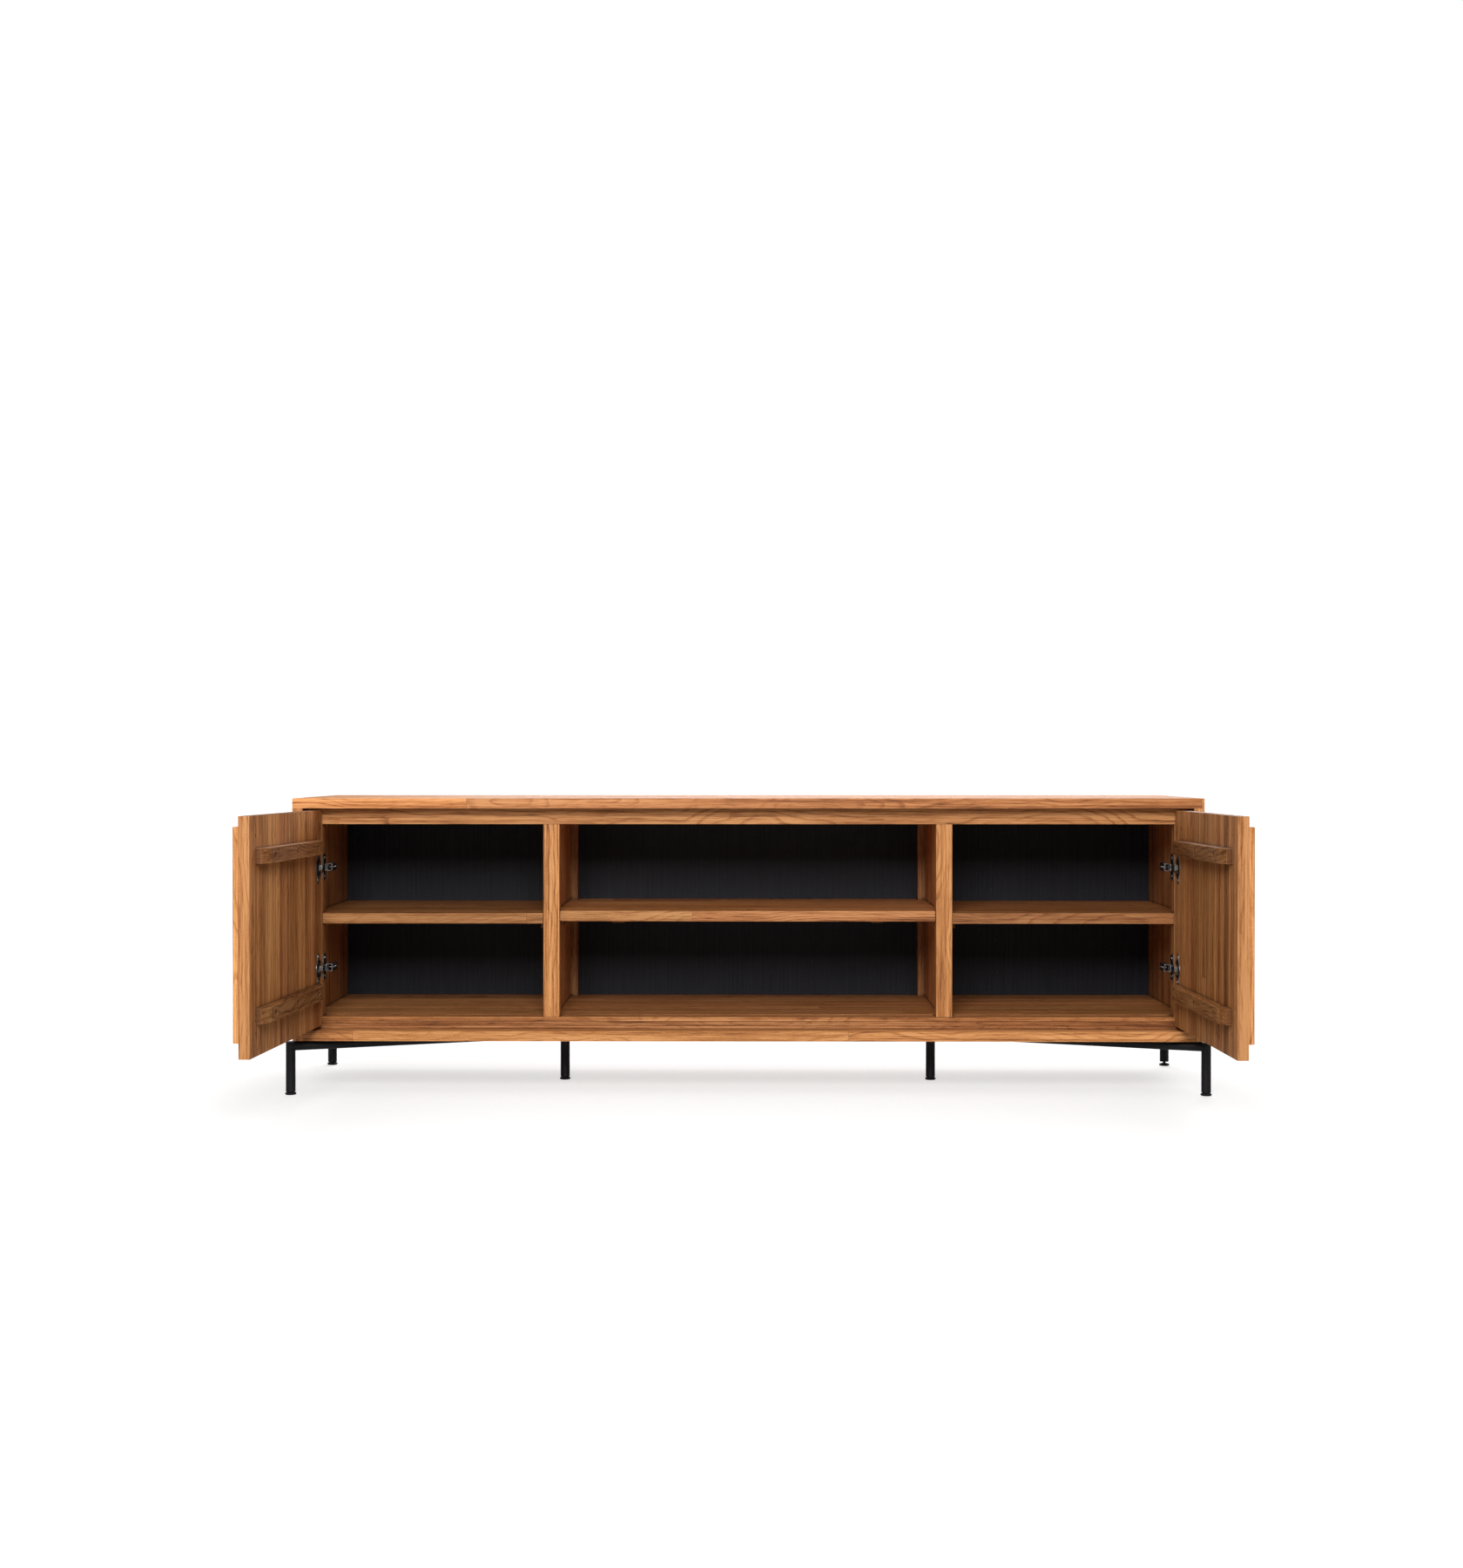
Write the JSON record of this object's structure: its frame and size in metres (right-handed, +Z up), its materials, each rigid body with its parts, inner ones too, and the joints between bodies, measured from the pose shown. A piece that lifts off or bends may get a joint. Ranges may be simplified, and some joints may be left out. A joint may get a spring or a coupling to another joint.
{
  "type": "television stand",
  "caption": "Low wooden television stand with a hinged door at each end, an open middle bay, fixed shelves and a tubular steel base on levelling feet.",
  "frame": {"origin": "on the floor under the middle of the whole outline, with both doors open as stored", "axes": "+X along the width to the right seen from the front, +Y from the doors to the back, +Z up"},
  "size_m": [1.836, 0.9244, 0.588],
  "materials": {
    "teak": "oiled, satin",
    "teak_inner": "oiled, satin, darker boards",
    "back_paint": "matte black paint on thin board",
    "black_steel": "black powder coat, low gloss",
    "nickel": "nickel plated",
    "foot_plastic": "matte"
  },
  "bodies": {
    "case": {"top_board": "teak", "bottom_board": "teak", "left_side": "teak", "right_side": "teak", "back_panel": "back_paint", "back_panel_screws": "nickel", "case_dowels": "teak", "top_rail": "teak", "bottom_rail": "teak", "left_end_stile": "teak", "right_end_stile": "teak", "left_inner_stile": "teak", "right_inner_stile": "teak", "left_divider": "teak_inner", "right_divider": "teak_inner", "left_liner": "teak_inner", "right_liner": "teak_inner", "rear_cleats": "teak_inner", "inner_floor": "teak_inner", "floor_bearers": "teak_inner", "left_shelf": "teak", "middle_shelf": "teak", "right_shelf": "teak", "shelf_bearers": "teak_inner", "shelf_battens": "teak", "left_front_leg": "black_steel", "left_middle_leg": "black_steel", "left_back_leg": "black_steel", "left_front_bar": "black_steel", "left_back_bar": "black_steel", "right_front_leg": "black_steel", "right_middle_leg": "black_steel", "right_back_leg": "black_steel", "right_front_bar": "black_steel", "right_back_bar": "black_steel", "base_plates": "black_steel", "base_screws": "black_steel", "leg_inserts": "foot_plastic", "levelling_feet": "foot_plastic", "left_hinge_pins": "nickel", "left_hinge_arms": "nickel", "left_hinge_plates": "nickel", "left_hinge_screws": "nickel", "right_hinge_pins": "nickel", "right_hinge_arms": "nickel", "right_hinge_plates": "nickel", "right_hinge_screws": "nickel"},
    "left_links": {"left_hinge_links": "nickel"},
    "left_door": {"left_door_slab": "teak", "left_door_boards": "teak", "left_door_battens": "teak_inner", "left_door_screws": "nickel", "left_hinge_cups": "nickel"},
    "right_links": {"right_hinge_links": "nickel"},
    "right_door": {"right_door_slab": "teak", "right_door_boards": "teak", "right_door_battens": "teak_inner", "right_door_screws": "nickel", "right_hinge_cups": "nickel"}
  },
  "joints": [
    {"name": "left_door_swing", "type": "hinge", "parent": "case", "child": "left_door", "pos_m": [-0.866, 0.02616, 0.3505], "axis": [0, 0, 1], "range_deg": [-12, 93]},
    {"name": "left_links_swing", "type": "hinge", "parent": "case", "child": "left_links", "pos_m": [-0.84, 0.04316, 0.3505], "axis": [0, 0, 1], "range_deg": [-54.5, 8.5]},
    {"name": "right_door_swing", "type": "hinge", "parent": "case", "child": "right_door", "pos_m": [0.866, 0.02616, 0.3505], "axis": [0, 0, -1], "range_deg": [-14, 91]},
    {"name": "right_links_swing", "type": "hinge", "parent": "case", "child": "right_links", "pos_m": [0.84, 0.04316, 0.3505], "axis": [0, 0, -1], "range_deg": [-54.5, 8.5]}
  ],
  "couplings": [
    {"joint": "left_links_swing", "follows": "left_door_swing", "ratio": -0.58064},
    {"joint": "right_links_swing", "follows": "right_door_swing", "ratio": -0.58064}
  ]
}
